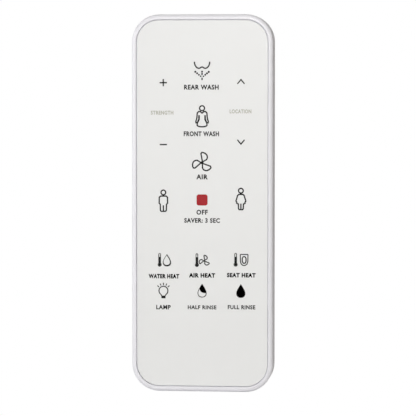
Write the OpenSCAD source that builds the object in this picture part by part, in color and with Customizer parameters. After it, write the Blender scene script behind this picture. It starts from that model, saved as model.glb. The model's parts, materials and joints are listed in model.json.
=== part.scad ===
// Wireless handset of an electric bidet seat, standing on its bottom end with its keys towards -Y.
// Each module is drawn lying on its back: x across, y up the length from the bottom end,
// and z from the back face to the front rim. upright() then turns it onto its bottom end.

/* [Case] */
// Width across the case
case_w = 60; // [59:0.5:62]
// Length from the bottom end to the top end
case_l = 160; // [159:0.5:164]
// Thickness from the back face to the front rim
case_t = 14; // [14:0.1:14.6]
// Plan radius of the outer corners
corner_r = 11.6; // [11.2:0.1:12]
// Thickness of the moulded walls
wall_t = 1.5; // [1.4:0.05:1.6]
// Radius along the front edge
front_edge_r = 1.6; // [1.2:0.1:1.6]
// Radius along the back edge
back_edge_r = 2.2; // [1.6:0.1:2.3]
// Height of the parting line above the back face
parting_z = 6; // [5.6:0.1:6.2]

/* [Panel] */
// Width of the rim along the two sides of the panel
rim_w = 1.9; // [1.85:0.05:2.1]
// Width of the rim above and below the panel
rim_end_w = 2.2; // [2:0.05:2.4]
// Radius along the rim's inner edge
rim_edge_r = 0.25; // [0.15:0.05:0.25]
// How far the panel lies below the rim
rim_step = 0.3; // [0.2:0.05:0.35]
// Thickness of the printed overlay
film_t = 0.3; // [0.25:0.05:0.35]
// Gap between the overlay and the rim
film_gap = 0.3; // [0.2:0.02:0.34]
// Thickness of the deck under the overlay
deck_t = 1.5; // [1.4:0.05:1.6]
// Width of the printed lines
line_w = 0.48; // [0.42:0.02:0.52]
// Width of the thinnest printed lines
fine_w = 0.34; // [0.3:0.02:0.36]
// Height of the print above the overlay
ink_t = 0.05; // [0.03:0.01:0.08]

/* [Keys] */
// Distance between the three columns of keys
column_pitch = 16.5; // [16.2:0.1:16.8]
// Width and height of a key cap
key_w = 7.4; // [7:0.1:7.6]
// Corner radius of a key cap
key_r = 1.2; // [1:0.1:1.6]
// Gap between a key cap and its window
key_gap = 0.2; // [0.15:0.01:0.25]
// How far a key moves when it is pressed
key_travel = 0.35; // [0.3:0.01:0.35]

/* [Batteries] */
// Diameter of an AAA cell
cell_d = 10.5; // [10.2:0.1:10.5]
// Length of an AAA cell with its nub
cell_len = 44.5; // [44:0.1:44.5]
// Distance between the axes of the two cells
cell_pitch = 11; // [10.8:0.1:11.1]
// Height of the lower cell's axis above the bottom end
cell_y = 9.4; // [9.3:0.1:9.6]
// Length of a contact spring when a cell is in
spring_len = 2.8; // [2.6:0.1:3]

/* [Battery door] */
// Thickness of the door
door_t = 1.3; // [1.2:0.05:1.4]
// Width of the door
door_w = 50; // [49:0.5:50]
// Height of the door's top edge above the bottom end
door_top = 28.8; // [28.6:0.1:28.8]
// Height of the hinge axis above the bottom end
hinge_y = 4.6; // [4.5:0.1:4.8]
// Radius of the hinge pins
pin_r = 0.7; // [0.6:0.05:0.75]
// Radial clearance of a hinge pin in its bore
pin_gap = 0.05; // [0.03:0.01:0.08]

/* [Hidden] */
$fn = 48;
eps = 0.01;
inner_w = case_w - 2 * wall_t;
inner_l = case_l - 2 * wall_t;
inner_r = corner_r - wall_t;
mid_y = case_l / 2;
recess_w = case_w - 2 * rim_w;
recess_l = case_l - 2 * rim_end_w;
recess_r = corner_r - rim_w;
glue_groove_h = 0.5;

// Heights of the layers above the back face
film_z = case_t - rim_step - film_t;
deck_z = film_z - deck_t;
bay_deck_z = film_z - 1;
dome_h = key_travel;
board_t = 1;
board_drop = 2.4;
board_z = deck_z - board_drop;
board_top = board_z + board_t;
foot_t = 0.5;
foot_gap = 0.1;
foot_z = deck_z - foot_gap - foot_t;
nub_gap = 0.05;
nub_z = board_top + dome_h + nub_gap;
cap_gap = 0.02;
key_top = film_z - cap_gap;
foot_lip = 0.8;
foot_w = key_w + 2 * foot_lip;
nub_r = 1;
dome_r = 2.5;
dome_t = 0.1;

// Tongue and groove that locate the two halves
tongue_h = 1.2;
groove_h = tongue_h + 0.1;
tongue_out = 0.85;
groove_out = 0.8;

// Screws: places, shanks and heads
case_screw_x = 23.8;
case_screw_ys = [34, 147];
board_screw_x = column_pitch / 2;
board_screw_ys = [50, 90, 124];
case_shank_r = 1;
case_shank_l = 8.2;
case_pilot_z = 10.8;
case_head_r = 1.9;
case_head_h = 1.4;
head_gap = 0.02;
counterbore_z = 1.9;
counterbore_r = 2.1;
post_r = 3.2;
boss_r = 2.3;
boss_gap = 0.2;
board_shank_r = 0.8;
board_shank_l = 3.2;
board_head_r = 1.6;
board_head_h = 1;
board_boss_r = 1.9;
pilot_gap = 0.02;
shank_gap = 0.1;
rest_r = 1.5;
rest_places = [for (sx = [-1, 1], y = [70, 112]) [sx * column_pitch, y]];

// Battery bay
cell_r = cell_d / 2;
nub_len = 1;
cell_z = door_t + 0.2 + cell_r;
cell_ys = [cell_y, cell_y + cell_pitch];
cell_shift = spring_len / 2;
contact_x = cell_len / 2 + cell_shift + 0.03;
contact_t = 0.4;
contact_w = 8.4;
rib_x = contact_x + contact_t + 0.02;
rib_t = 1.2;
rib_y = 5.6;
rib_top = 10.4;
plate_z = 2.6;
tab_w = 3;
tab_z = rib_top + 0.2;
lead_x = 27.1;
lead_r = 0.5;
bay_half = 24;
bay_y = wall_t + 2;
bay_top = door_top - 0.4;
partition_half = 26;
partition_t = 1.2;
partition_z = deck_z - 0.2;
ledge_z = 1.5;
ledge_t = 0.9;
ledge_side_w = rib_t + 0.2;
ledge_end_w = 2;

// Door and hinge
hinge_z = 1.25;
barrel_r = 1.25;
barrel_half = 22;
pin_len = 2.2;
sill_gap = 0.2;
sill_y = hinge_y - barrel_r - sill_gap;
door_gap = 0.2;
notch_y = hinge_y + 2.2;
lug_y = hinge_y + 1.6;
lug_w = 3;
lug_x = barrel_half + 0.2;
lug_top = hinge_z + 1.35;
thumb_r = 7;
thumb_depth = 0.6;
grip_w = 8;
grip_t = 0.6;
grip_h = 0.35;
grip_count = 3;
grip_pitch = 1.5;
latch_w = 8;
latch_y = door_top - 1.9;
latch_t = 0.8;
latch_h = 2.6;
hook_l = 1.15;
hook_h = 0.7;
slit_w = 0.5;
slit_l = 5;

// Circuit board
board_w = 53;
board_l = 123;
board_y = 92.5;
board_r = 7;
spacer_t = 0.1;
spacer_inset = 1.5;

// Name, column and height of each key, and how far its mark is printed above its middle
KEYS = [
    ["pressure_up_key", -1, 131.2, 0],
    ["pressure_down_key", -1, 105, 0],
    ["position_up_key", 1, 131.2, 0.4],
    ["position_down_key", 1, 105, 1.2],
    ["rear_wash_key", 0, 136.2, 0],
    ["front_wash_key", 0, 117, 0],
    ["dry_key", 0, 98.2, 0],
    ["stop_key", 0, 81.6, 0],
    ["user_one_key", -1, 81.6, -0.3],
    ["user_two_key", 1, 81.6, 0.6],
    ["water_temp_key", -1, 56.1, 0],
    ["dryer_temp_key", 0, 56.1, 0],
    ["seat_temp_key", 1, 56.1, 0],
    ["light_key", -1, 43.1, -0.4],
    ["half_flush_key", 0, 43.1, 0],
    ["full_flush_key", 1, 43.1, 0]
];
STOP = 7;
stop_w = 4.4;
stop_r = 0.8;

// ---- Shapes that repeat ----

// Turns a piece drawn on its back so that it stands on its bottom end
module upright() translate([0, case_t / 2, 0]) rotate([90, 0, 0]) children();

// Rectangle with round corners, centred
module plan(w, l, r) {
    square([w - 2 * r, l], center = true);
    square([w, l - 2 * r], center = true);
    for (sx = [-1, 1], sy = [-1, 1])
        translate([sx * (w / 2 - r), sy * (l / 2 - r)]) circle(r);
}

// Straight-sided block on a rounded plan, centred across the case and along it
module block(w, l, r, z, h) translate([0, mid_y, z]) linear_extrude(h) plan(w, l, r);

// Sweeps a section around a rounded rectangle: x runs out from the middle of each corner
module around(w, l, r) translate([0, mid_y, 0]) {
    straight_w = w - 2 * r;
    straight_l = l - 2 * r;
    for (a = [0, 180]) rotate(a) {
        translate([straight_w / 2, straight_l / 2, 0]) rotate_extrude(angle = 90) children();
        translate([-straight_w / 2, straight_l / 2, 0]) rotate(90) rotate_extrude(angle = 90) children();
        translate([straight_w / 2, 0, 0]) rotate([90, 0, 0])
            linear_extrude(straight_l, center = true) children();
        translate([0, straight_l / 2, 0]) rotate([90, 0, 90])
            linear_extrude(straight_w, center = true) children();
    }
}

// Half of the case's outside, with a round edge e at z = 0 and a flat top at t
module shell(t, e) {
    around(case_w, case_l, corner_r) {
        square([corner_r - e, t]);
        translate([0, e]) square([corner_r, t - e]);
        translate([corner_r - e, e]) circle(e);
    }
    straight_w = case_w - 2 * corner_r;
    straight_l = case_l - 2 * corner_r;
    translate([-straight_w / 2, corner_r, 0]) cube([straight_w, straight_l, t]);
}

// What is cut away to round the rim's inner edge, below z = case_t
module rim_rounding() around(recess_w, recess_l, recess_r) difference() {
    translate([recess_r - eps, case_t - rim_edge_r]) square(rim_edge_r + eps);
    translate([recess_r + rim_edge_r, case_t - rim_edge_r]) circle(rim_edge_r);
}

module at_case_screws() for (sx = [-1, 1], y = case_screw_ys)
    translate([sx * case_screw_x, y, 0]) children();

module at_board_screws() for (sx = [-1, 1], y = board_screw_ys)
    translate([sx * board_screw_x, y, 0]) children();

module at_keys() for (k = KEYS) translate([k[1] * column_pitch, k[2], 0]) children();

// Round post or bore from z0 to z1
module post(r, z0, z1) translate([0, 0, z0]) cylinder(r = r, h = z1 - z0);

// Hollow for a thumb at the door's top edge
module thumb_recess() translate([0, door_top, thumb_depth - 2]) cylinder(r = thumb_r, h = 2);

// Screw with its head at z = 0 below and its point up, and a cross cut in the head
module screw(head_r, head_h, shank_r, shank_l) {
    cross_l = 1.1 * head_r;
    cross_w = 0.32;
    point_h = 0.8;
    difference() {
        cylinder(r = head_r, h = head_h);
        for (a = [0, 90]) rotate(a) translate([-cross_l / 2, -cross_w / 2, -eps])
            cube([cross_l, cross_w, head_h / 2]);
    }
    translate([0, 0, head_h - eps]) cylinder(r = shank_r, h = shank_l - point_h + eps);
    translate([0, 0, head_h + shank_l - point_h]) cylinder(r1 = shank_r, r2 = 0.4 * shank_r, h = point_h);
}

// Round wire through a list of points
module wire(points, r) {
    for (i = [0 : len(points) - 2]) {
        d = points[i + 1] - points[i];
        translate(points[i]) rotate([0, acos(d.z / norm(d)), atan2(d.y, d.x)])
            cylinder(r = r, h = norm(d));
    }
    for (i = [1 : len(points) - 2]) translate(points[i]) sphere(r);
}

// ---- Printed marks, drawn flat around the middle of their key ----

function unit(v) = v / norm(v);
function miter(a, b) = let (m = unit(a + b)) [-m.y, m.x] / max(0.35, a * m);
function heading(p, i) = unit(p[min(i + 1, len(p) - 1)] - p[min(i, len(p) - 2)]);
function flank(p, i, w) = p[i] + w * miter(heading(p, max(i - 1, 0)), heading(p, i));
function arc(c, rx, ry, a0, a1, n) = [for (i = [0 : n]) let (a = a0 + (a1 - a0) * i / n)
    c + [rx * cos(a), ry * sin(a)]];

// Line of constant width through a list of points
module stroke(p, w = line_w) polygon(concat(
    [for (i = [0 : len(p) - 1]) flank(p, i, w / 2)],
    [for (i = [len(p) - 1 : -1 : 0]) flank(p, i, -w / 2)]
));

module ring(r, w = line_w) difference() {
    circle(r + w / 2);
    circle(r - w / 2);
}

// Closed line of constant width along the inside of an outline, whose points run clockwise
module outline(p, w = line_w) {
    n = len(p);
    inset = [for (i = [0 : n - 1])
        let (a = unit(p[i] - p[(i + n - 1) % n]), b = unit(p[(i + 1) % n] - p[i])) p[i] - w * miter(a, b)];
    polygon(concat(p, inset), [[for (i = [0 : n - 1]) i], [for (i = [0 : n - 1]) n + i]]);
}

module both_sides() {
    children();
    mirror([1, 0]) children();
}

function drop(r, h, n = 28) = [for (i = [0 : n - 1]) let (a = 360 * i / n)
    [1.3 * r * sin(a) * pow(sin(a / 2), 1.3), h * cos(a)]];

module thermometer(x, y) translate([x, y]) {
    tube_r = 0.5;
    tube_top = 2.3;
    bulb_r = 0.8;
    bulb_y = -2.1;
    glass = 0.24;
    column_w = 0.44;
    difference() {
        union() {
            translate([-tube_r, bulb_y]) square([2 * tube_r, tube_top - bulb_y]);
            translate([0, tube_top]) circle(tube_r);
            translate([0, bulb_y]) circle(bulb_r);
        }
        translate([glass - tube_r, bulb_y]) square([2 * (tube_r - glass), tube_top - bulb_y]);
        translate([0, tube_top]) circle(tube_r - glass);
        translate([0, bulb_y]) circle(bulb_r - glass);
    }
    translate([-column_w / 2, bulb_y]) square([column_w, 3.3]);
    translate([0, bulb_y]) circle(0.45);
}

module fan_blades(s, w = line_w) {
    blade = s * concat([[0, 0], [-0.75, 3.9], [-0.15, 4.6]], arc([-0.2, 2.35], 2.7, 2.25, 70, -35, 6));
    for (a = [0, 120, 240]) rotate(a) outline(blade, w);
    circle(s * 0.6);
}

module chevron(up) stroke([[-1.5, -0.9 * up], [0, 0.9 * up], [1.5, -0.9 * up]], 0.44);

module rear_wash_mark() {
    bowl = concat(arc([-1.35, 3.8], 1.9, 2.75, 180, 262, 5),
        [for (x = [-1.3 : 0.325 : 1.3]) [x, 1.325 - 0.275 * cos(180 * (1 + x / 1.3))]],
        arc([1.35, 3.8], 1.9, 2.75, 278, 360, 5));
    stroke(bowl);
    both_sides() for (i = [0 : 3])
        translate([0.6 + 0.75 * i, -2.3 + 0.62 * i]) circle(0.3 + 0.03 * i, $fn = 16);
    translate([0, -0.3]) circle(0.34, $fn = 16);
    for (y = [-1.8, -3.9]) translate([-line_w / 2, y]) square([line_w, 1]);
}

module front_wash_mark() {
    side = [[0, 1.3], [-0.7, 1.95], [-1.5, 2], [-2.05, 1.4], [-2.15, 0], [-2.3, -1.2], [-2.65, -2.1],
        [-2.6, -2.75], [-2, -2.75], [-1.35, -1.3], [-1.25, 0.1]];
    sleeve = [[-1.25, 0.45], [-1.3, -1.3], [-1.85, -2.5]];
    skirt = concat([[-2, -2.75], [-2.1, -3.7]], arc([0, -3.7], 2.1, 0.75, 190, 350, 7),
        [[2.1, -3.7], [2, -2.75]]);
    translate([0, 3.4]) ring(1.05);
    both_sides() {
        stroke(side);
        stroke(sleeve, 0.6);
    }
    stroke(skirt);
}

// Standing figure: its side runs from the neck down to the foot
module user_mark(side) {
    translate([0, 3.4]) ring(1);
    both_sides() stroke(side);
    translate([-line_w / 2, -4.6]) square([line_w, 2.5]);
}

module user_one_mark() user_mark([[0, 1.85], [-1.2, 1.85], [-1.75, 1.35], [-1.8, -1.15], [-1.35, -1.6],
    [-1.25, -4.25], [-0.9, -4.6], [0, -4.6]]);

module user_two_mark() user_mark([[0, 1.85], [-0.9, 1.85], [-1.4, 1.35], [-2.1, -1], [-1.75, -1.45],
    [-1.75, -2], [-1.1, -2.2], [-1, -4.25], [-0.7, -4.6], [0, -4.6]]);

module water_mark() {
    thermometer(-1.6, 0);
    translate([1.5, -0.2]) difference() {
        polygon(drop(1.85, 2.6));
        translate([-0.1, 0.06]) scale(0.81) polygon(drop(1.85, 2.6));
    }
}

module dryer_mark() {
    thermometer(-2.2, 0);
    translate([1, -0.3]) fan_blades(0.55, fine_w);
}

// Thermometer beside a seat seen from above
module seat_mark() {
    lid = [[-1.5, 2.5], [1.5, 2.5], [1.8, 2.2], [1.75, -0.7], [1.35, -1.9], [0.5, -2.5],
        [-0.5, -2.5], [-1.35, -1.9], [-1.75, -0.7], [-1.8, 2.2]];
    hole = [[-0.5, 1.55], [0.5, 1.55], [1, 0.7], [1, -0.7], [0.5, -1.6], [-0.5, -1.6], [-1, -0.7], [-1, 0.7]];
    thermometer(-2.2, 0.3);
    translate([1.4, 0.2]) {
        outline(lid, fine_w);
        outline(hole, 0.4);
    }
}

module light_mark() {
    glass = concat(arc([0, 0.2], 2.1, 2.1, 235, -55, 16), [[0.75, -2.3], [-0.75, -2.3]]);
    outline(glass, 0.36);
    for (a = [-50 : 25 : 50]) translate([0, 0.2]) rotate(a) translate([-0.17, 2.45]) square([0.34, 0.9]);
    translate([-0.85, -3]) square([1.7, 0.75]);
}

// Drop whose upper right half is solid
module half_drop_mark() {
    edge = drop(2, 2.9);
    difference() {
        polygon(edge);
        polygon([[-2, 1.1], [-1.2, 0.95], [-0.85, 0.1], [-0.4, -0.5], [0.3, -0.85], [1.1, -0.98],
            [3, -1.02], [3, -4], [-3, -4], [-3, 1.1]]);
    }
    difference() {
        polygon(edge);
        scale([0.88, 0.92]) polygon(edge);
    }
}

// The mark of key i
module mark(i) translate([0, KEYS[i][3]]) {
    if (i < 2) translate([-1.5, -line_w / 2]) square([3, line_w]);
    if (i == 0) translate([-line_w / 2, -1.5]) square([line_w, 3]);
    if (i == 2) chevron(1);
    if (i == 3) chevron(-1);
    if (i == 4) rear_wash_mark();
    if (i == 5) front_wash_mark();
    if (i == 6) translate([0, -0.8]) fan_blades(1);
    if (i == 8) user_one_mark();
    if (i == 9) user_two_mark();
    if (i == 10) water_mark();
    if (i == 11) dryer_mark();
    if (i == 12) seat_mark();
    if (i == 13) light_mark();
    if (i == 14) half_drop_mark();
    if (i == 15) polygon(drop(2, 2.9));
}

// ---- Case ----

// White tray with the rim, the deck behind the panel, and the windows for the keys
module front_housing() color("white") upright() difference() {
    union() {
        difference() {
            translate([0, 0, case_t]) mirror([0, 0, 1]) translate([0, case_l, 0]) mirror([0, 1, 0])
                shell(case_t - parting_z, front_edge_r);
            block(recess_w, recess_l, recess_r, film_z, case_t);
            rim_rounding();
            // Groove around the overlay that takes up spare glue
            difference() {
                block(recess_w, recess_l, recess_r, film_z - glue_groove_h, glue_groove_h + eps);
                block(recess_w - 2 * film_gap, recess_l - 2 * film_gap, recess_r - film_gap,
                    film_z - 2 * glue_groove_h, 4 * glue_groove_h);
            }
            block(inner_w, inner_l, inner_r, parting_z - 1, deck_z - parting_z + 1);
            block(case_w - 2 * groove_out, case_l - 2 * groove_out, corner_r - groove_out,
                parting_z - 1, groove_h + 1);
            translate([-bay_half, bay_y, deck_z - eps])
                cube([2 * bay_half, bay_top - bay_y, bay_deck_z - deck_z + eps]);
        }
        at_case_screws() post(boss_r, parting_z + boss_gap, deck_z + eps);
        at_board_screws() post(board_boss_r, board_top + head_gap, deck_z + eps);
    }
    at_keys() translate([0, 0, deck_z - 1])
        linear_extrude(deck_t + 2) plan(key_w + 2 * key_gap, key_w + 2 * key_gap, key_r + key_gap);
    at_case_screws() post(case_shank_r + pilot_gap, parting_z, case_pilot_z);
    at_board_screws() post(board_shank_r + pilot_gap, board_top, film_z - 0.6);
}

// Thin film that covers the whole panel and the keys
module printed_overlay() color("whitesmoke") upright() {
    block(recess_w - 2 * film_gap, recess_l - 2 * film_gap, recess_r - film_gap, film_z, film_t);
}

// Dark print on the film
module printed_icons() color("dimgray") upright() for (i = [0 : len(KEYS) - 1])
    if (i != STOP) translate([KEYS[i][1] * column_pitch, KEYS[i][2], film_z + film_t])
        linear_extrude(ink_t) mark(i);

// Red square printed on the film over the stop key
module stop_mark() color("firebrick") upright()
    translate([0, KEYS[STOP][2], film_z + film_t]) linear_extrude(ink_t) plan(stop_w, stop_w, stop_r);

// Back shell with the battery bay, the screw posts and the hinge lugs
module rear_housing() color("white") upright() difference() {
    union() {
        difference() {
            shell(parting_z, back_edge_r);
            block(inner_w, inner_l, inner_r, wall_t, parting_z);
            // Hole for the battery door
            translate([-door_w / 2 - door_gap, lug_y, -1])
                cube([door_w + 2 * door_gap, door_top + door_gap - lug_y, wall_t + 2]);
            translate([-barrel_half - door_gap, sill_y, -1])
                cube([2 * (barrel_half + door_gap), 6, wall_t + 2]);
        }
        // Tongue that enters the front housing
        difference() {
            block(case_w - 2 * tongue_out, case_l - 2 * tongue_out, corner_r - tongue_out,
                parting_z - 1, tongue_h + 1);
            block(inner_w, inner_l, inner_r, parting_z - 2, tongue_h + 3);
        }
        // Ledge that the door closes against
        for (sx = [-1, 1])
            translate([sx * (bay_half + ledge_side_w / 2) - ledge_side_w / 2, notch_y, ledge_z])
                cube([ledge_side_w, bay_top - notch_y, ledge_t]);
        translate([-bay_half - rib_t, bay_top, ledge_z])
            cube([2 * (bay_half + rib_t), ledge_end_w, ledge_t]);
        // Partition above the cells, and the ribs behind the contacts
        translate([-partition_half, door_top, ledge_z])
            cube([2 * partition_half, partition_t, partition_z - ledge_z]);
        for (sx = [-1, 1]) translate([sx * (rib_x + rib_t / 2) - rib_t / 2, rib_y, ledge_z])
            cube([rib_t, door_top - rib_y, rib_top - ledge_z]);
        // Hinge lugs
        for (sx = [-1, 1]) translate([sx * (lug_x + lug_w / 2) - lug_w / 2, sill_y, 0])
            cube([lug_w, lug_y - sill_y, lug_top]);
        at_case_screws() post(post_r, wall_t - 0.1, parting_z + 0.1);
        for (p = rest_places) translate(p) post(rest_r, wall_t - 0.1, board_z - 0.05);
    }
    at_case_screws() post(counterbore_r, -1, counterbore_z);
    at_case_screws() post(case_shank_r + shank_gap, 0, parting_z + 1);
    translate([-lug_x - lug_w - 1, hinge_y, hinge_z]) rotate([0, 90, 0])
        cylinder(r = pin_r + pin_gap, h = 2 * (lug_x + lug_w + 1));
    thumb_recess();
}

// Door that swings down on two moulded pins, with its snap finger pressed clear of the lip
module battery_door() color("white") upright() {
    difference() {
        union() {
            translate([-door_w / 2, notch_y, 0]) cube([door_w, door_top - notch_y, door_t]);
            translate([-barrel_half, hinge_y, 0]) cube([2 * barrel_half, notch_y - hinge_y + 1, door_t]);
        }
        thumb_recess();
        // Slits beside the snap finger
        for (sx = [-1, 1])
            translate([sx * (latch_w / 2 + slit_w) - slit_w / 2, door_top - slit_l, -1])
                cube([slit_w, slit_l + 1, door_t + 2]);
    }
    translate([-barrel_half, hinge_y, hinge_z]) rotate([0, 90, 0])
        cylinder(r = barrel_r, h = 2 * barrel_half);
    translate([-barrel_half - pin_len, hinge_y, hinge_z]) rotate([0, 90, 0])
        cylinder(r = pin_r, h = 2 * (barrel_half + pin_len));
    // Grip bars in the thumb recess
    for (i = [1 : grip_count])
        translate([-grip_w / 2, bay_top - i * grip_pitch, thumb_depth - grip_h])
            cube([grip_w, grip_t, grip_h + eps]);
    // Snap finger
    translate([-latch_w / 2, latch_y, door_t - eps]) cube([latch_w, latch_t, latch_h]);
    translate([-latch_w / 2, latch_y, door_t + latch_h - 1]) cube([latch_w, hook_l, hook_h]);
}

// Four self-tapping screws, put in from the back
module case_screws() color("silver") upright() at_case_screws()
    translate([0, 0, counterbore_z - case_head_h - head_gap])
        screw(case_head_r, case_head_h, case_shank_r, case_shank_l);

// ---- Electronics ----

// Circuit board, notched around the screw posts
module main_board() color("seagreen") upright() difference() {
    translate([0, board_y, board_z]) linear_extrude(board_t) plan(board_w, board_l, board_r);
    at_case_screws() post(boss_r + 0.5, 0, case_t);
    at_board_screws() post(board_shank_r + shank_gap, 0, case_t);
}

// Spacer film around the snap domes
module dome_sheet() color("lightgray") upright() difference() {
    translate([0, board_y, board_top]) linear_extrude(spacer_t)
        plan(board_w - 2 * spacer_inset, board_l - 2 * spacer_inset, board_r - 1);
    at_case_screws() post(boss_r + 1, 0, case_t);
    at_board_screws() post(board_boss_r + 0.3, 0, case_t);
    at_keys() post(dome_r + 0.2, 0, case_t);
}

// Thin sprung discs that close the circuit and push the keys back
module snap_domes() color("gold") upright() at_keys() translate([0, 0, board_top])
    rotate_extrude() polygon(concat(
        [for (t = [0 : 0.2 : 1]) [dome_r * t, (dome_h - dome_t) * (1 - t * t)]],
        [for (t = [1 : -0.2 : 0]) [dome_r * t, dome_t + (dome_h - dome_t) * (1 - t * t)]]
    ));

// Six small screws that hold the board to the deck
module board_screws() color("silver") upright() at_board_screws()
    translate([0, 0, board_z - board_head_h - head_gap])
        screw(board_head_r, board_head_h, board_shank_r, board_shank_l);

// Chip in a flat package, with legs on two sides, on the back of the board
module microcontroller() color("dimgray") upright() translate([0, 104, board_z]) {
    body_w = 7.6;
    body_l = 10.4;
    leg_pitch = 0.78;
    leg_w = 0.32;
    leg_t = 0.2;
    leg_h = 1;
    foot_l = 0.8;
    translate([-body_w / 2, -body_l / 2, -2]) cube([body_w, body_l, 1.8]);
    for (a = [0, 180], i = [-6 : 6]) rotate(a) translate([0, i * leg_pitch - leg_w / 2, 0]) {
        translate([body_w / 2 - eps, 0, -leg_h]) cube([0.95, leg_w, leg_t]);
        translate([body_w / 2 + 0.75, 0, -leg_h]) cube([leg_t, leg_w, leg_h]);
        translate([body_w / 2 + 0.75, 0, -leg_t]) cube([foot_l, leg_w, leg_t]);
    }
}

// Radio on its own small board under a pressed metal can
module radio_module() color("silver") upright() translate([0, 135.5, board_z]) {
    card_t = 0.8;
    can_h = 1.9;
    translate([0, 0, -card_t]) linear_extrude(card_t) square([15, 18], center = true);
    translate([0, -1, eps - card_t - can_h]) linear_extrude(can_h) plan(12.6, 13, 1);
}

// Folded copper track that sends and receives
module antenna() color("goldenrod") upright() translate([0, 146.4, board_z - 0.06]) {
    track_w = 0.8;
    run_l = 5;
    run_pitch = 3.2;
    linear_extrude(0.06) {
        for (i = [-3 : 3]) translate([i * run_pitch - track_w / 2, 0]) square([track_w, run_l]);
        for (i = [-3 : 2]) translate([i * run_pitch - track_w / 2, i % 2 == 0 ? run_l - track_w : 0])
            square([run_pitch + track_w, track_w]);
        translate([-3 * run_pitch - track_w / 2, -4]) square([track_w, 4 + eps]);
    }
}

// Timing crystal in a low can
module crystal() color("silver") upright() {
    can_h = 2.4;
    translate([11, 100, board_z - can_h]) linear_extrude(can_h) plan(3.6, 9, 1.75);
}

// One electrolytic can and five ceramic chips
module capacitors() color("tan") upright() {
    can_r = 2.5;
    chip = [2, 1.2, 0.9];
    translate([-16, 96, board_z - can_r - 0.1]) rotate([90, 0, 0]) cylinder(r = can_r, h = 7, center = true);
    for (i = [0 : 4]) translate([-9.5, 98 + i * 2.6, board_z - chip.z]) cube(chip);
}

// Two rows of small chip resistors
module resistors() color("black") upright() {
    chip = [0.9, 1.7, 0.5];
    for (i = [0 : 5], row_y = [85, 88]) translate([-6.2 + i * 2.2, row_y, board_z - chip.z]) cube(chip);
}

// ---- Battery bay ----

// Pressed plate at the end of a cell, with a tab that folds over the rib
module contact_plate(y) {
    translate([contact_x, y - contact_w / 2, plate_z])
        cube([contact_t, contact_w, tab_z + contact_t - plate_z]);
    translate([contact_x, y - tab_w / 2, tab_z]) cube([lead_x + 0.5 - contact_x, tab_w, contact_t]);
}

// Conical spring from the plate towards the cell
module contact_spring(y, turns = 3, per_turn = 16, r = 0.25, sides = 8) {
    n = turns * per_turn;
    run = spring_len - 2 * r - 0.05;
    rings = [for (i = [0 : n]) let (a = 360 * i / per_turn, coil_r = 3.2 - 1.5 * i / n)
        [for (s = [0 : sides - 1]) let (q = 360 * s / sides, out = coil_r + r * cos(q))
            [-r + 0.05 - run * i / n + r * sin(q), out * cos(a), out * sin(a)]]];
    points = [for (g = rings) each g];
    walls = [for (i = [0 : n - 1], s = [0 : sides - 1]) let (t = (s + 1) % sides)
        [i * sides + s, i * sides + t, (i + 1) * sides + t, (i + 1) * sides + s]];
    ends = [[for (s = [sides - 1 : -1 : 0]) s], [for (s = [0 : sides - 1]) n * sides + s]];
    translate([contact_x, y, cell_z]) polyhedron(points = points, faces = concat(walls, ends));
}

module positive_contact() color("silver") upright() contact_plate(cell_ys[1]);

module negative_contact() color("silver") upright() {
    contact_plate(cell_ys[0]);
    contact_spring(cell_ys[0]);
}

// Plate that joins the two cells, with a spring for the upper one
module bridge_contact() color("silver") upright() mirror([1, 0, 0]) {
    translate([contact_x, cell_ys[0] - contact_w / 2, plate_z])
        cube([contact_t, cell_pitch + contact_w, rib_top - plate_z]);
    contact_spring(cell_ys[1]);
}

// Insulated lead from the tab of one contact to a pad under the board
module lead(y, z, end_y) wire([
    [lead_x, y, tab_z],
    [lead_x, y, z],
    [lead_x, end_y - 2.5, z],
    [lead_x - 2.5, end_y, z],
    [lead_x - 2.5, end_y, board_z]
], lead_r);

module red_lead() color("red") upright() lead(cell_ys[1], 8.8, 42);

module black_lead() color("black") upright() lead(cell_ys[0], 7.5, 46);

// AAA cell with its nub towards +x
module cell() translate([cell_shift - cell_len / 2, 0, cell_z]) rotate([0, 90, 0]) {
    cylinder(r = cell_r, h = cell_len - nub_len);
    cylinder(r = 1.9, h = cell_len);
}

module battery_upper() color("darkorange") upright() translate([0, cell_ys[1], 0]) cell();

module battery_lower() color("darkorange") upright() translate([0, cell_ys[0], 0]) mirror([1, 0, 0]) cell();

// ---- Keys ----

// Key cap with the foot that stops it under the deck and the nub that presses its dome
module key(i) color("gainsboro") upright() translate([KEYS[i][1] * column_pitch, KEYS[i][2], 0]) {
    translate([0, 0, foot_z]) linear_extrude(foot_t) plan(foot_w, foot_w, key_r);
    translate([0, 0, foot_z]) linear_extrude(key_top - foot_z) plan(key_w, key_w, key_r);
    post(nub_r, nub_z, foot_z + eps);
}

front_housing();
printed_overlay();
printed_icons();
stop_mark();
rear_housing();
battery_door();
case_screws();
main_board();
dome_sheet();
snap_domes();
board_screws();
microcontroller();
radio_module();
antenna();
crystal();
capacitors();
resistors();
positive_contact();
negative_contact();
bridge_contact();
red_lead();
black_lead();
battery_upper();
battery_lower();
for (i = [0 : len(KEYS) - 1]) key(i);
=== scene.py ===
import json
import math

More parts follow.
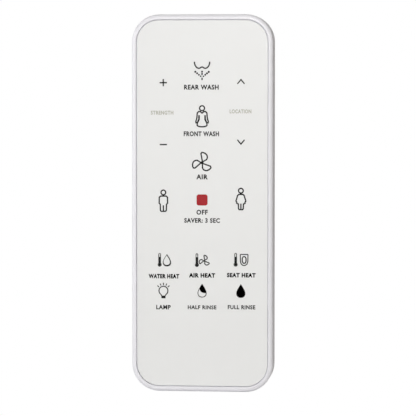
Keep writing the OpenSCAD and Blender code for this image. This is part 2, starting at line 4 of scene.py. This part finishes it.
import bmesh
import bpy
import numpy as np
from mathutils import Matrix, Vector

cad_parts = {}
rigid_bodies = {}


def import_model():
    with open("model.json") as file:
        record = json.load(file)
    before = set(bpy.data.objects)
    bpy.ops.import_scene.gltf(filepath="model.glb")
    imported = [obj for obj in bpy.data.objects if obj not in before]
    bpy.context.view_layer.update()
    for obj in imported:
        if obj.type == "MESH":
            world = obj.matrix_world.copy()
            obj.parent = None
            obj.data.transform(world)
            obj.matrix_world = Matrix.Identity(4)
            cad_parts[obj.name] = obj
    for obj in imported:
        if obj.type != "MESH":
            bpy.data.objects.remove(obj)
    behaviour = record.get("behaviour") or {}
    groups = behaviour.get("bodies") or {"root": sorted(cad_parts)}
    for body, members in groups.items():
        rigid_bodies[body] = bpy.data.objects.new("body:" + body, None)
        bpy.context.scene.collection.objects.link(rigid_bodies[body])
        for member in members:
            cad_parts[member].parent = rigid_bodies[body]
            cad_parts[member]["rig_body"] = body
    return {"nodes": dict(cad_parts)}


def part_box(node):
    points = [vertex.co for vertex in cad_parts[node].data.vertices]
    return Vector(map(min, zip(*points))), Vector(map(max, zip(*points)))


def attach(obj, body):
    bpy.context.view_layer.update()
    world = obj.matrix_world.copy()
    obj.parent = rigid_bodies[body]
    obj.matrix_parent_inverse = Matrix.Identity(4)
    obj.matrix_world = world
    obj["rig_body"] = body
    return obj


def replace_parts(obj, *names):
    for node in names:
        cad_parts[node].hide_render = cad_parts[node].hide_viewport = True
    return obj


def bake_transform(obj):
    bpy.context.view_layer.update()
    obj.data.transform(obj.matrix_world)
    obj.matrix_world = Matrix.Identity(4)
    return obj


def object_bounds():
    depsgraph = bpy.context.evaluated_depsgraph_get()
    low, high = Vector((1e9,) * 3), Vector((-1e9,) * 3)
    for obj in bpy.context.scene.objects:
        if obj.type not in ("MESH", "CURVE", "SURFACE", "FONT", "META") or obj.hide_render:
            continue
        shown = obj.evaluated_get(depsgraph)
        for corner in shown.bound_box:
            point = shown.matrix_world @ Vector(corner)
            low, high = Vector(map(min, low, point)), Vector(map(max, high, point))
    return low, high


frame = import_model()
cad_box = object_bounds()
nodes = frame["nodes"]


# ---- Case halves and battery door ----
# Three white ABS mouldings. The tool's face is polished and then lightly sparked, so they have a soft
# gloss over a very fine grain. They close on a tongue and groove, and four screws hold them.

GLOSS_DRIFT = 0.12
CLOUD_TINT = (0.8, 0.79, 0.77, 1)


def grain_group():
    """Fine grain, slow drift of the gloss, and faint cloudiness of the colour."""
    group = bpy.data.node_groups.new("moulded_grain", "ShaderNodeTree")
    socket = group.interface.new_socket
    socket("Colour", in_out="INPUT", socket_type="NodeSocketColor")
    socket("Roughness", in_out="INPUT", socket_type="NodeSocketFloat")
    socket("Grain Scale", in_out="INPUT", socket_type="NodeSocketFloat")
    socket("Cloud", in_out="INPUT", socket_type="NodeSocketFloat")
    socket("Colour", in_out="OUTPUT", socket_type="NodeSocketColor")
    socket("Roughness", in_out="OUTPUT", socket_type="NodeSocketFloat")
    socket("Height", in_out="OUTPUT", socket_type="NodeSocketFloat")
    make, link = group.nodes.new, group.links.new
    entry, leave = make("NodeGroupInput"), make("NodeGroupOutput")
    place = make("ShaderNodeTexCoord")
    speckle = make("ShaderNodeTexNoise")
    speckle.inputs["Detail"].default_value = 3
    speckle.inputs["Roughness"].default_value = 0.6
    link(place.outputs["Object"], speckle.inputs["Vector"])
    link(entry.outputs["Grain Scale"], speckle.inputs["Scale"])
    link(speckle.outputs["Fac"], leave.inputs["Height"])
    drift = make("ShaderNodeTexNoise")
    drift.inputs["Scale"].default_value = 45
    drift.inputs["Detail"].default_value = 4
    link(place.outputs["Object"], drift.inputs["Vector"])
    swing = make("ShaderNodeMath")
    swing.operation = "MULTIPLY_ADD"
    swing.inputs[1].default_value = GLOSS_DRIFT
    link(drift.outputs["Fac"], swing.inputs[0])
    link(entry.outputs["Roughness"], swing.inputs[2])
    link(swing.outputs[0], leave.inputs["Roughness"])
    depth = make("ShaderNodeMath")
    depth.operation = "MULTIPLY"
    link(drift.outputs["Fac"], depth.inputs[0])
    link(entry.outputs["Cloud"], depth.inputs[1])
    tint = make("ShaderNodeMix")
    tint.data_type = "RGBA"
    tint.blend_type = "MULTIPLY"
    tint.inputs["B"].default_value = CLOUD_TINT
    link(depth.outputs[0], tint.inputs["Factor"])
    link(entry.outputs["Colour"], tint.inputs["A"])
    link(tint.outputs["Result"], leave.inputs["Colour"])
    return group


grain = grain_group()


def grained(name, colour, roughness, grain_scale, grain_height, cloud):
    """A material with the fine grain all over it, and the bump node that raises the grain.

    Returns both. grain_height is in metres, and cloud is how strongly the colour varies.
    """
    material = bpy.data.materials.new(name)
    material.use_nodes = True
    tree = material.node_tree
    shader = tree.nodes["Principled BSDF"]
    finish = tree.nodes.new("ShaderNodeGroup")
    finish.node_tree = grain
    finish.inputs["Colour"].default_value = (*colour, 1)
    finish.inputs["Roughness"].default_value = roughness
    finish.inputs["Grain Scale"].default_value = grain_scale
    finish.inputs["Cloud"].default_value = cloud
    bump = tree.nodes.new("ShaderNodeBump")
    bump.inputs["Distance"].default_value = grain_height
    tree.links.new(finish.outputs["Colour"], shader.inputs["Base Color"])
    tree.links.new(finish.outputs["Roughness"], shader.inputs["Roughness"])
    tree.links.new(finish.outputs["Height"], bump.inputs["Height"])
    tree.links.new(bump.outputs["Normal"], shader.inputs["Normal"])
    return material, bump


def moulded(name, colour, roughness,
            grain_scale=3500, grain_height=0.000006, cloud=0.1, round_edge=0.0):
    """A moulded plastic, whose edges look rounded over the radius round_edge."""
    material, bump = grained(name, colour, roughness, grain_scale, grain_height, cloud)
    if round_edge:
        tree = material.node_tree
        bevel = tree.nodes.new("ShaderNodeBevel")
        bevel.samples = 6
        bevel.inputs["Radius"].default_value = round_edge
        tree.links.new(bevel.outputs["Normal"], bump.inputs["Normal"])
    return material


def dress(material, *names):
    """Gives CAD nodes their material."""
    for name in names:
        nodes[name].data.materials.clear()
        nodes[name].data.materials.append(material)


case_white = moulded("case_white", (0.8, 0.8, 0.85), 0.3, round_edge=0.00012)
dress(case_white, "front_housing", "rear_housing", "battery_door")


# ---- Screws ----
# Four case screws from the back and six smaller ones that hold the board to the deck. They are
# zinc-plated steel with a pressed cross recess.

def metal(name, colour, roughness, grain_scale=900):
    """A bare or plated metal with a fine uneven polish."""
    material, _ = grained(name, colour, roughness, grain_scale, grain_height=0.000004, cloud=0.35)
    material.node_tree.nodes["Principled BSDF"].inputs["Metallic"].default_value = 1
    return material


screw_steel = metal("screw_steel", (0.62, 0.62, 0.6), 0.28)
dress(screw_steel, "case_screws", "board_screws")


# ---- Circuit board ----
# Glass-epoxy laminate under a green solder mask, with copper tracks that show faintly through it and
# a tan cut edge. It hangs from the deck on the six small screws.

EDGE_ON = 0.5

board_green = moulded("board_green", (0.012, 0.13, 0.055), 0.28, grain_scale=1200, cloud=0.4)
tree = board_green.node_tree
make, link = tree.nodes.new, tree.links.new
board_shader = tree.nodes["Principled BSDF"]
place = make("ShaderNodeTexCoord")
tracks = make("ShaderNodeTexVoronoi")
tracks.feature = "DISTANCE_TO_EDGE"
tracks.inputs["Scale"].default_value = 230
tracks.inputs["Randomness"].default_value = 0.55
link(place.outputs["Object"], tracks.inputs["Vector"])
# The tracks are narrow bands along the pattern's borders
narrow = make("ShaderNodeMapRange")
narrow.inputs["From Min"].default_value = 0.05
narrow.inputs["From Max"].default_value = 0.08
narrow.inputs["To Min"].default_value = 1
narrow.inputs["To Max"].default_value = 0
link(tracks.outputs["Distance"], narrow.inputs["Value"])
over_copper = make("ShaderNodeMix")
over_copper.data_type = "RGBA"
over_copper.inputs["B"].default_value = (0.06, 0.3, 0.08, 1)
link(narrow.outputs["Result"], over_copper.inputs["Factor"])
link(board_shader.inputs["Base Color"].links[0].from_socket, over_copper.inputs["A"])
# The cut edge is wherever the surface faces neither the front nor the back
way = make("ShaderNodeNewGeometry")
across = make("ShaderNodeSeparateXYZ")
link(way.outputs["Normal"], across.inputs["Vector"])
facing = make("ShaderNodeMath")
facing.operation = "ABSOLUTE"
link(across.outputs["Y"], facing.inputs[0])
cut_edge = make("ShaderNodeMath")
cut_edge.operation = "LESS_THAN"
cut_edge.inputs[1].default_value = EDGE_ON
link(facing.outputs[0], cut_edge.inputs[0])
laminate = make("ShaderNodeMix")
laminate.data_type = "RGBA"
laminate.inputs["B"].default_value = (0.35, 0.3, 0.14, 1)
link(cut_edge.outputs[0], laminate.inputs["Factor"])
link(over_copper.outputs["Result"], laminate.inputs["A"])
link(laminate.outputs["Result"], board_shader.inputs["Base Color"])
dress(board_green, "main_board")


# ---- Dome sheet and snap domes ----
# A milky polyester spacer holds sixteen sprung steel discs. Each closes a contact on the board
# when its key goes down, and pushes the key back.

dress(moulded("spacer_film", (0.6, 0.62, 0.64), 0.3, cloud=0.2), "dome_sheet")
dress(metal("dome_steel", (0.72, 0.71, 0.68), 0.2), "snap_domes")


# ---- Parts on the back of the board ----
# A controller chip, a radio module under a tinned can, a printed antenna, a crystal, one
# electrolytic can with five ceramic chips, and two rows of resistors, all soldered to the board.

chip_epoxy = moulded("chip_epoxy", (0.02, 0.02, 0.022), 0.5, grain_scale=6000, cloud=0.3)
dress(chip_epoxy, "microcontroller")
resistor_glaze = moulded("resistor_glaze", (0.03, 0.028, 0.03), 0.25, grain_scale=2500, cloud=0.5)
dress(resistor_glaze, "resistors")
dress(metal("shield_tin", (0.7, 0.7, 0.68), 0.3), "radio_module", "crystal")
dress(metal("track_copper", (0.8, 0.45, 0.2), 0.32), "antenna")
dress(moulded("capacitor_ceramic", (0.42, 0.3, 0.18), 0.45, cloud=0.5), "capacitors")


# ---- Battery contacts and leads ----
# Nickel-plated spring steel plates stand against the ribs of the bay, with wound springs at the
# negative ends. Two thin PVC leads join them to the board.

contact_nickel = metal("contact_nickel", (0.7, 0.68, 0.62), 0.22)
dress(contact_nickel, "positive_contact", "negative_contact", "bridge_contact")
dress(moulded("lead_red", (0.42, 0.015, 0.015), 0.38, cloud=0.3), "red_lead")
dress(moulded("lead_black", (0.012, 0.012, 0.013), 0.38, cloud=0.3), "black_lead")


# ---- Cells ----
# Two AAA cells lie across the bay, one each way round. Each is a drawn steel can with a pressed cap,
# inside a printed shrink sleeve that curls over both ends.

CELL_SIDES = 96
SLEEVE_T = 0.00012
NUB_LENGTH = 0.001
BAND_LENGTH = 0.012
SHARP_ANGLE = math.radians(30)


def join_loops(bm, a, b):
    """Faces between two closed loops of as many vertices."""
    for i in range(len(a)):
        j = (i + 1) % len(a)
        bm.faces.new((a[i], a[j], b[j], b[i]))


def piece_from(bm, name, material):
    """Turns a bmesh into a piece whose faces meet smoothly, apart from sharp edges."""
    bmesh.ops.recalc_face_normals(bm, faces=bm.faces)
    mesh = bpy.data.meshes.new(name)
    bm.to_mesh(mesh)
    bm.free()
    mesh.materials.append(material)
    mesh.shade_smooth()
    mesh.set_sharp_from_angle(angle=SHARP_ANGLE)
    piece = bpy.data.objects.new(name, mesh)
    bpy.context.scene.collection.objects.link(piece)
    return piece


def turned(name, profile, y, z, material, closed=False):
    """A piece turned about the x direction at (y, z). The profile is (x, radius), in metres."""
    bm = bmesh.new()
    turns = [2 * math.pi * i / CELL_SIDES for i in range(CELL_SIDES)]
    loops = []
    for x, r in profile:
        if r == 0:
            loops.append([bm.verts.new((x, y, z))])
        else:
            loops.append([bm.verts.new((x, y + r * math.cos(a), z + r * math.sin(a))) for a in turns])
    for a, b in zip(loops, loops[1:] + loops[:1] if closed else loops[1:]):
        if len(a) == 1 or len(b) == 1:
            tip, rim = (a[0], b) if len(a) == 1 else (b[0], a)
            for i in range(CELL_SIDES):
                bm.faces.new((tip, rim[i], rim[(i + 1) % CELL_SIDES]))
        else:
            join_loops(bm, a, b)
    return piece_from(bm, name, material)


def printed_sleeve(name, body, band, band_from, band_to):
    """Glossy shrink sleeve: a dark body colour, and a bright band between two places along x."""
    material = moulded(name, body, 0.2, grain_scale=1500, cloud=0.2)
    tree = material.node_tree
    make, link = tree.nodes.new, tree.links.new
    shader = tree.nodes["Principled BSDF"]
    shader.inputs["Coat Weight"].default_value = 0.5
    place, split = make("ShaderNodeTexCoord"), make("ShaderNodeSeparateXYZ")
    link(place.outputs["Object"], split.inputs["Vector"])
    after, before, both = make("ShaderNodeMath"), make("ShaderNodeMath"), make("ShaderNodeMath")
    after.operation, before.operation, both.operation = "GREATER_THAN", "LESS_THAN", "MULTIPLY"
    after.inputs[1].default_value = min(band_from, band_to)
    before.inputs[1].default_value = max(band_from, band_to)
    link(split.outputs["X"], after.inputs[0])
    link(split.outputs["X"], before.inputs[0])
    link(after.outputs[0], both.inputs[0])
    link(before.outputs[0], both.inputs[1])
    mix = make("ShaderNodeMix")
    mix.data_type = "RGBA"
    mix.inputs["B"].default_value = (*band, 1)
    link(both.outputs[0], mix.inputs["Factor"])
    link(shader.inputs["Base Color"].links[0].from_socket, mix.inputs["A"])
    link(mix.outputs["Result"], shader.inputs["Base Color"])
    return material


cell_steel = metal("cell_steel", (0.6, 0.6, 0.58), 0.3, grain_scale=2000)
for cell, way in (("battery_upper", 1), ("battery_lower", -1)):
    low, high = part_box(cell)
    radius = (high.z - low.z) / 2
    back_end, cap_end = (low.x, high.x) if way > 0 else (high.x, low.x)
    shoulder = cap_end - way * NUB_LENGTH
    at = (low.y + high.y) / 2, (low.z + high.z) / 2
    can_r = radius - 1.5 * SLEEVE_T
    can = turned(cell + "_can", [
        # Dished negative end
        (back_end + way * 0.00015, 0), (back_end + way * 0.00015, 0.0033), (back_end, 0.0036),
        (back_end, can_r - 0.0004), (back_end + way * 0.0001, can_r - 0.0001),
        # Side wall, rolled over at the shoulder
        (back_end + way * 0.0004, can_r), (shoulder - way * 0.0006, can_r),
        (shoulder - way * 0.0002, can_r - 0.0003), (shoulder, can_r - 0.0009),
        (shoulder - way * 0.0003, can_r - 0.0015), (shoulder - way * 0.0003, 0.0022),
        # Pressed cap
        (shoulder, 0.0019), (cap_end - way * 0.0003, 0.0019), (cap_end - way * 0.0001, 0.0018),
        (cap_end, 0.0015), (cap_end, 0),
    ], *at, cell_steel)
    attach(can, "case")
    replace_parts(can, cell)
    sleeve_paint = printed_sleeve(cell + "_sleeve", (0.01, 0.012, 0.016), (0.62, 0.3, 0.06),
                                  shoulder, shoulder - way * BAND_LENGTH)
    sleeve = turned(cell + "_sleeve", [
        # Outside, curled over both ends
        (back_end + way * 0.00002, radius - 0.0012), (back_end + way * 0.00002, radius - 0.0003),
        (back_end + way * 0.0002, radius - 0.00005), (back_end + way * 0.0005, radius),
        (shoulder - way * 0.0005, radius), (shoulder - way * 0.0001, radius - 0.0003),
        (shoulder, radius - 0.0014),
        # Inside, back along the can
        (shoulder - way * SLEEVE_T, radius - 0.0014), (shoulder - way * 0.0006, radius - SLEEVE_T),
        (back_end + way * 0.0006, radius - SLEEVE_T), (back_end + way * SLEEVE_T, radius - 0.0005),
        (back_end + way * SLEEVE_T, radius - 0.0012),
    ], *at, sleeve_paint, closed=True)
    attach(sleeve, "case")


# ---- Keys ----
# Sixteen loose ABS caps under the film, moulded in a light grey. Each sits in a window of the deck,
# is kept in by its foot, and has a nub over its snap dome.

keys = sorted(name for name in nodes if name.endswith("_key"))
dress(moulded("key_plastic", (0.62, 0.62, 0.62), 0.4), *keys)


# ---- Printed overlay ----
# One polyester film, satin on top, glued over the whole panel. It is cut a hair smaller than the
# recess, and over each key it is free to dip by the key's travel.

FILM_CORNER = 0.0094
FILM_EDGE = 0.00006
DIP_EDGE = 0.00388
DIP_FLAT = 0.0014
DIP_SIDES = 64
DIP_RINGS = 12
CORNER_STEPS = 16

film_low, film_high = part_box("printed_overlay")


def key_middle(name):
    """The middle of a key's box."""
    low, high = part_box(name)
    return (low + high) / 2


def rounded_outline(half_w, low_z, high_z, corner):
    """Points round a rectangle with round corners, in x and z."""
    points = []
    for turn, (cx, cz) in enumerate([
        (half_w - corner, high_z - corner), (corner - half_w, high_z - corner),
        (corner - half_w, low_z + corner), (half_w - corner, low_z + corner),
    ]):
        for i in range(CORNER_STEPS + 1):
            angle = math.radians(90 * (turn + i / CORNER_STEPS))
            points.append((cx + corner * math.cos(angle), cz + corner * math.sin(angle)))
    return points


def circle_points(middle, radius):
    """Points round a circle on the panel, in x and z."""
    turns = [2 * math.pi * i / DIP_SIDES for i in range(DIP_SIDES)]
    return [(middle.x + radius * math.cos(a), middle.z + radius * math.sin(a)) for a in turns]


def add_loop(bm, points, y):
    """A closed loop of vertices and edges at depth y."""
    verts = [bm.verts.new((x, y, z)) for x, z in points]
    edges = [bm.edges.new((verts[i], verts[(i + 1) % len(verts)])) for i in range(len(verts))]
    return verts, edges


def dip(piece, key):
    """Bakes the piece's transform and works out how much of it lies over the key's middle; nothing
    uses that share.
    """
    middle = key_middle(key)
    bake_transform(piece)
    # The key's share is full inside DIP_FLAT, none beyond DIP_EDGE, and eased between them
    co = np.array([v.co for v in piece.data.vertices])
    reach = np.hypot(co[:, 0] - middle.x, co[:, 2] - middle.z)
    share = np.clip((DIP_EDGE - reach) / (DIP_EDGE - DIP_FLAT), 0, 1)
    share = share * share * (3 - 2 * share)


panel_film = moulded("panel_film", (0.791, 0.8, 0.808), 0.34,
                     grain_scale=5000, grain_height=0.000003, cloud=0.06)

# The main sheet has an eased front edge, and a round hole over each key
bm = bmesh.new()
front_edge = rounded_outline(film_high.x - FILM_EDGE, film_low.z + FILM_EDGE,
                             film_high.z - FILM_EDGE, FILM_CORNER - FILM_EDGE)
full_edge = rounded_outline(film_high.x, film_low.z, film_high.z, FILM_CORNER)
front_rim, front_edges = add_loop(bm, front_edge, film_low.y)
side_rim, _ = add_loop(bm, full_edge, film_low.y + FILM_EDGE)
back_rim, back_edges = add_loop(bm, full_edge, film_high.y)
join_loops(bm, front_rim, side_rim)
join_loops(bm, side_rim, back_rim)
for key in keys:
    points = circle_points(key_middle(key), DIP_EDGE)
    front_hole, edges = add_loop(bm, points, film_low.y)
    front_edges += edges
    back_hole, edges = add_loop(bm, points, film_high.y)
    back_edges += edges
    join_loops(bm, front_hole, back_hole)
bmesh.ops.triangle_fill(bm, use_beauty=True, edges=front_edges)
bmesh.ops.triangle_fill(bm, use_beauty=True, edges=back_edges)
film = piece_from(bm, "overlay_film", panel_film)
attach(film, "case")
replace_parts(film, "printed_overlay")

# The round parts over the keys are made in rings, fine enough to bend
for key in keys:
    middle = key_middle(key)
    bm = bmesh.new()
    rims = []
    for y in (film_low.y, film_high.y):
        centre = bm.verts.new((middle.x, y, middle.z))
        loop = None
        for ring in range(1, DIP_RINGS + 1):
            points = circle_points(middle, DIP_EDGE * ring / DIP_RINGS)
            verts = [bm.verts.new((x, y, z)) for x, z in points]
            if loop is None:
                for i in range(DIP_SIDES):
                    bm.faces.new((centre, verts[i], verts[(i + 1) % DIP_SIDES]))
            else:
                join_loops(bm, loop, verts)
            loop = verts
        rims.append(loop)
    join_loops(bm, *rims)
    patch = piece_from(bm, "film_over_" + key, panel_film)
    dip(patch, key)


# ---- Print on the overlay ----
# Screen-printed ink: near black for the line symbols, deep black for the flush drops, and red for the
# stop square. It is part of the film, so it dips with it.

MARK_REACH = 0.0068
WELD = 1e-7
INK_STEP = 0.0004
INK_ROUNDS = 4
INK_SPREAD = 0.00004
STOP_SPREAD = 0.00014


def ink(name, colour, shine=0.25):
    """A screen-printing ink: its colour, and how strongly its surface shines."""
    material = moulded(name, colour, 0.5, grain_scale=2500, grain_height=0.000004, cloud=0.3)
    material.node_tree.nodes["Principled BSDF"].inputs["Specular IOR Level"].default_value = shine
    return material


ink_grey = ink("ink_grey", (0.01, 0.01, 0.0105), shine=0.15)
ink_black = ink("ink_black", (0.0005, 0.0005, 0.0005), shine=0)
ink_pale = ink("ink_pale", (0.46, 0.46, 0.41))
ink_red = ink("ink_red", (0.38, 0.018, 0.024))


def print_mark(source, key, material, spread=INK_SPREAD):
    """Cuts the print near one key out of its CAD node and spreads the ink."""
    middle = key_middle(key)
    bm = bmesh.new()
    bm.from_mesh(nodes[source].data)
    far = [f for f in bm.faces if (f.calc_center_median() - middle).length > MARK_REACH]
    bmesh.ops.delete(bm, geom=far, context="FACES")
    bmesh.ops.remove_doubles(bm, verts=bm.verts, dist=WELD)
    bm.normal_update()
    outward = [
        sum((f.normal for f in v.link_faces if abs(f.normal.y) < EDGE_ON), Vector())
        for v in bm.verts
    ]
    for v, way in zip(bm.verts, outward):
        v.co += spread * way.normalized()
    # Long edges are halved in rounds, so the ink can bend with the film
    for _ in range(INK_ROUNDS):
        long = [e for e in bm.edges if e.calc_length() > INK_STEP]
        bmesh.ops.subdivide_edges(bm, edges=long, cuts=1)
        bmesh.ops.triangulate(bm, faces=bm.faces)
    mark = piece_from(bm, "ink_" + key.removesuffix("_key"), material)
    dip(mark, key)
    return mark


for key in keys:
    if key == "stop_key":
        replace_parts(print_mark("stop_mark", key, ink_red, STOP_SPREAD), "stop_mark")
    else:
        colour = ink_black if key in ("half_flush_key", "full_flush_key") else ink_grey
        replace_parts(print_mark("printed_icons", key, colour), "printed_icons")


# ---- Words ----
# Plain function words, screen-printed below their symbols in a simple upright face. The ink is dark,
# apart from the two pale headings between the up and down keys.

WORD_HEIGHT = 0.00002
LETTER_SPACING = 1.12
BOLD = 0.055


def word(text, x, z, cap, width, material, weight=0.038):
    """A printed word whose middle is at (x, z), with letters cap high, fitted to the width.

    The strokes are swelled by the weight.
    """
    letters = bpy.data.curves.new("word", "FONT")
    letters.body = text
    letters.align_x = "CENTER"
    letters.resolution_u = 3
    letters.space_character = LETTER_SPACING
    letters.offset = weight
    holder = bpy.data.objects.new("word", letters)
    bpy.context.scene.collection.objects.link(holder)
    bpy.context.view_layer.update()
    mesh = bpy.data.meshes.new_from_object(holder)
    bpy.data.objects.remove(holder)
    co = np.array([v.co for v in mesh.vertices])
    low, high = co.min(0), co.max(0)
    bm = bmesh.new()
    bm.from_mesh(mesh)
    bpy.data.meshes.remove(mesh)
    for v in bm.verts:
        u = ((v.co.x - low[0]) / (high[0] - low[0]) - 0.5) * width
        h = ((v.co.y - low[1]) / (high[1] - low[1]) - 0.5) * cap
        v.co = (x + u, film_low.y, z + h)
    grown = bmesh.ops.extrude_face_region(bm, geom=list(bm.faces))
    for v in [g for g in grown["geom"] if isinstance(g, bmesh.types.BMVert)]:
        v.co.y -= WORD_HEIGHT
    piece = piece_from(bm, "word_" + text.lower().replace(" ", "_").replace(":", ""), material)
    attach(piece, "case")


column = key_middle("position_up_key").x
word("REAR WASH", -0.0003, 0.1293, 0.0021, 0.0147, ink_grey)
word("STRENGTH", -column - 0.0005, 0.1185, 0.0017, 0.0096, ink_pale)
word("LOCATION", column - 0.0002, 0.1191, 0.0017, 0.0092, ink_pale)
word("FRONT WASH", -0.0003, 0.1096, 0.0021, 0.0150, ink_grey)
word("AIR", 0, 0.0914, 0.0021, 0.0049, ink_grey)
word("OFF", 0, 0.0764, 0.0021, 0.0048, ink_grey)
word("SAVER: 3 SEC", 0, 0.0729, 0.0020, 0.0152, ink_grey)
word("WATER HEAT", -column + 0.0002, 0.0491, 0.0019, 0.0131, ink_black, weight=BOLD)
word("AIR HEAT", 0, 0.0496, 0.0019, 0.0112, ink_black, weight=BOLD)
word("SEAT HEAT", column + 0.0002, 0.0498, 0.0019, 0.0122, ink_black, weight=BOLD)
word("LAMP", -column, 0.0359, 0.0019, 0.0062, ink_grey)
word("HALF RINSE", 0, 0.0360, 0.0017, 0.0122, ink_grey)
word("FULL RINSE", column + 0.0003, 0.0362, 0.0018, 0.0117, ink_grey)


# ---- Studio ----
# A white floor under a white backdrop, a window light from the left, softboxes in front, above and
# behind, and a camera a little above the handset's middle and to its right.

FLOOR_RADIUS = 6
WHITE = (1, 1, 1)
WARM_WHITE = (1, 0.96, 0.88)


def show_instead(tree, real, shown, output):
    """The camera sees one shader, while the light meets the real one."""
    seen = tree.nodes.new("ShaderNodeLightPath")
    mix = tree.nodes.new("ShaderNodeMixShader")
    tree.links.new(seen.outputs["Is Camera Ray"], mix.inputs["Fac"])
    tree.links.new(real, mix.inputs[1])
    tree.links.new(shown, mix.inputs[2])
    tree.links.new(mix.outputs["Shader"], output.inputs["Surface"])


def stage_white():
    """White paper for the floor, which the camera sees evenly white."""
    material = bpy.data.materials.new("studio_white")
    material.use_nodes = True
    tree = material.node_tree
    shader = tree.nodes["Principled BSDF"]
    shader.inputs["Base Color"].default_value = (0.8, 0.8, 0.8, 1)
    shader.inputs["Roughness"].default_value = 0.9
    glow = tree.nodes.new("ShaderNodeEmission")
    output = tree.nodes["Material Output"]
    show_instead(tree, shader.outputs["BSDF"], glow.outputs["Emission"], output)
    return material


low, high = Vector(cad_box[0]), Vector(cad_box[1])
middle = (low + high) / 2

bm = bmesh.new()
bmesh.ops.create_circle(bm, cap_ends=True, segments=96, radius=FLOOR_RADIUS)
floor = piece_from(bm, "floor", stage_white())

# The light from all round is dim and warm, while the camera sees a white backdrop
world = bpy.data.worlds.new("studio_world")
bpy.context.scene.world = world
world.use_nodes = True
tree = world.node_tree
air = tree.nodes["Background"]
air.inputs["Color"].default_value = (1, 0.955, 0.87, 1)
air.inputs["Strength"].default_value = 0.22
backdrop = tree.nodes.new("ShaderNodeBackground")
backdrop.inputs["Color"].default_value = (*WHITE, 1)
output = tree.nodes["World Output"]
show_instead(tree, air.outputs["Background"], backdrop.outputs["Background"], output)


def soft_light(name, away, size, power, colour=WHITE):
    """A square softbox that stands away from the handset's middle and looks at it."""
    lamp = bpy.data.lights.new(name, "AREA")
    lamp.size = size
    lamp.energy = power
    lamp.color = colour
    light = bpy.data.objects.new(name, lamp)
    light.location = middle + Vector(away)
    light.rotation_euler = (middle - light.location).to_track_quat("-Z", "Y").to_euler()
    bpy.context.scene.collection.objects.link(light)


soft_light("left_window", (-1, -0.1, 0.1), 0.6, 5.1)
soft_light("left_front", (-0.4, -0.9, 0.1), 0.5, 1.4)
soft_light("front_box", (0.12, -0.95, 0.4), 0.35, 3.8)
soft_light("right_front", (0.45, -0.75, 0.15), 0.3, 1.3, WARM_WHITE)
soft_light("overhead", (0, -0.2, 1.1), 0.6, 0.6)
soft_light("back_box", (-0.35, 1.15, 0.1), 1.0, 4.5)

CAMERA_AZIMUTH = math.radians(6)
CAMERA_HEIGHT = math.radians(3)
CAMERA_DISTANCE = 1.0
FRAME_WIDTH = 0.1773

camera = bpy.data.cameras.new("camera")
camera.lens = camera.sensor_width * CAMERA_DISTANCE / FRAME_WIDTH
camera.shift_x = 0.0103
camera.shift_y = -0.0122
camera.clip_start = 0.01
viewer = bpy.data.objects.new("camera", camera)
viewer.location = middle + CAMERA_DISTANCE * Vector((
    math.sin(CAMERA_AZIMUTH) * math.cos(CAMERA_HEIGHT),
    -math.cos(CAMERA_AZIMUTH) * math.cos(CAMERA_HEIGHT),
    math.sin(CAMERA_HEIGHT),
))
viewer.rotation_euler = (middle - viewer.location).to_track_quat("-Z", "Y").to_euler()
bpy.context.scene.collection.objects.link(viewer)
bpy.context.scene.camera = viewer
bpy.context.scene.view_settings.view_transform = "Standard"
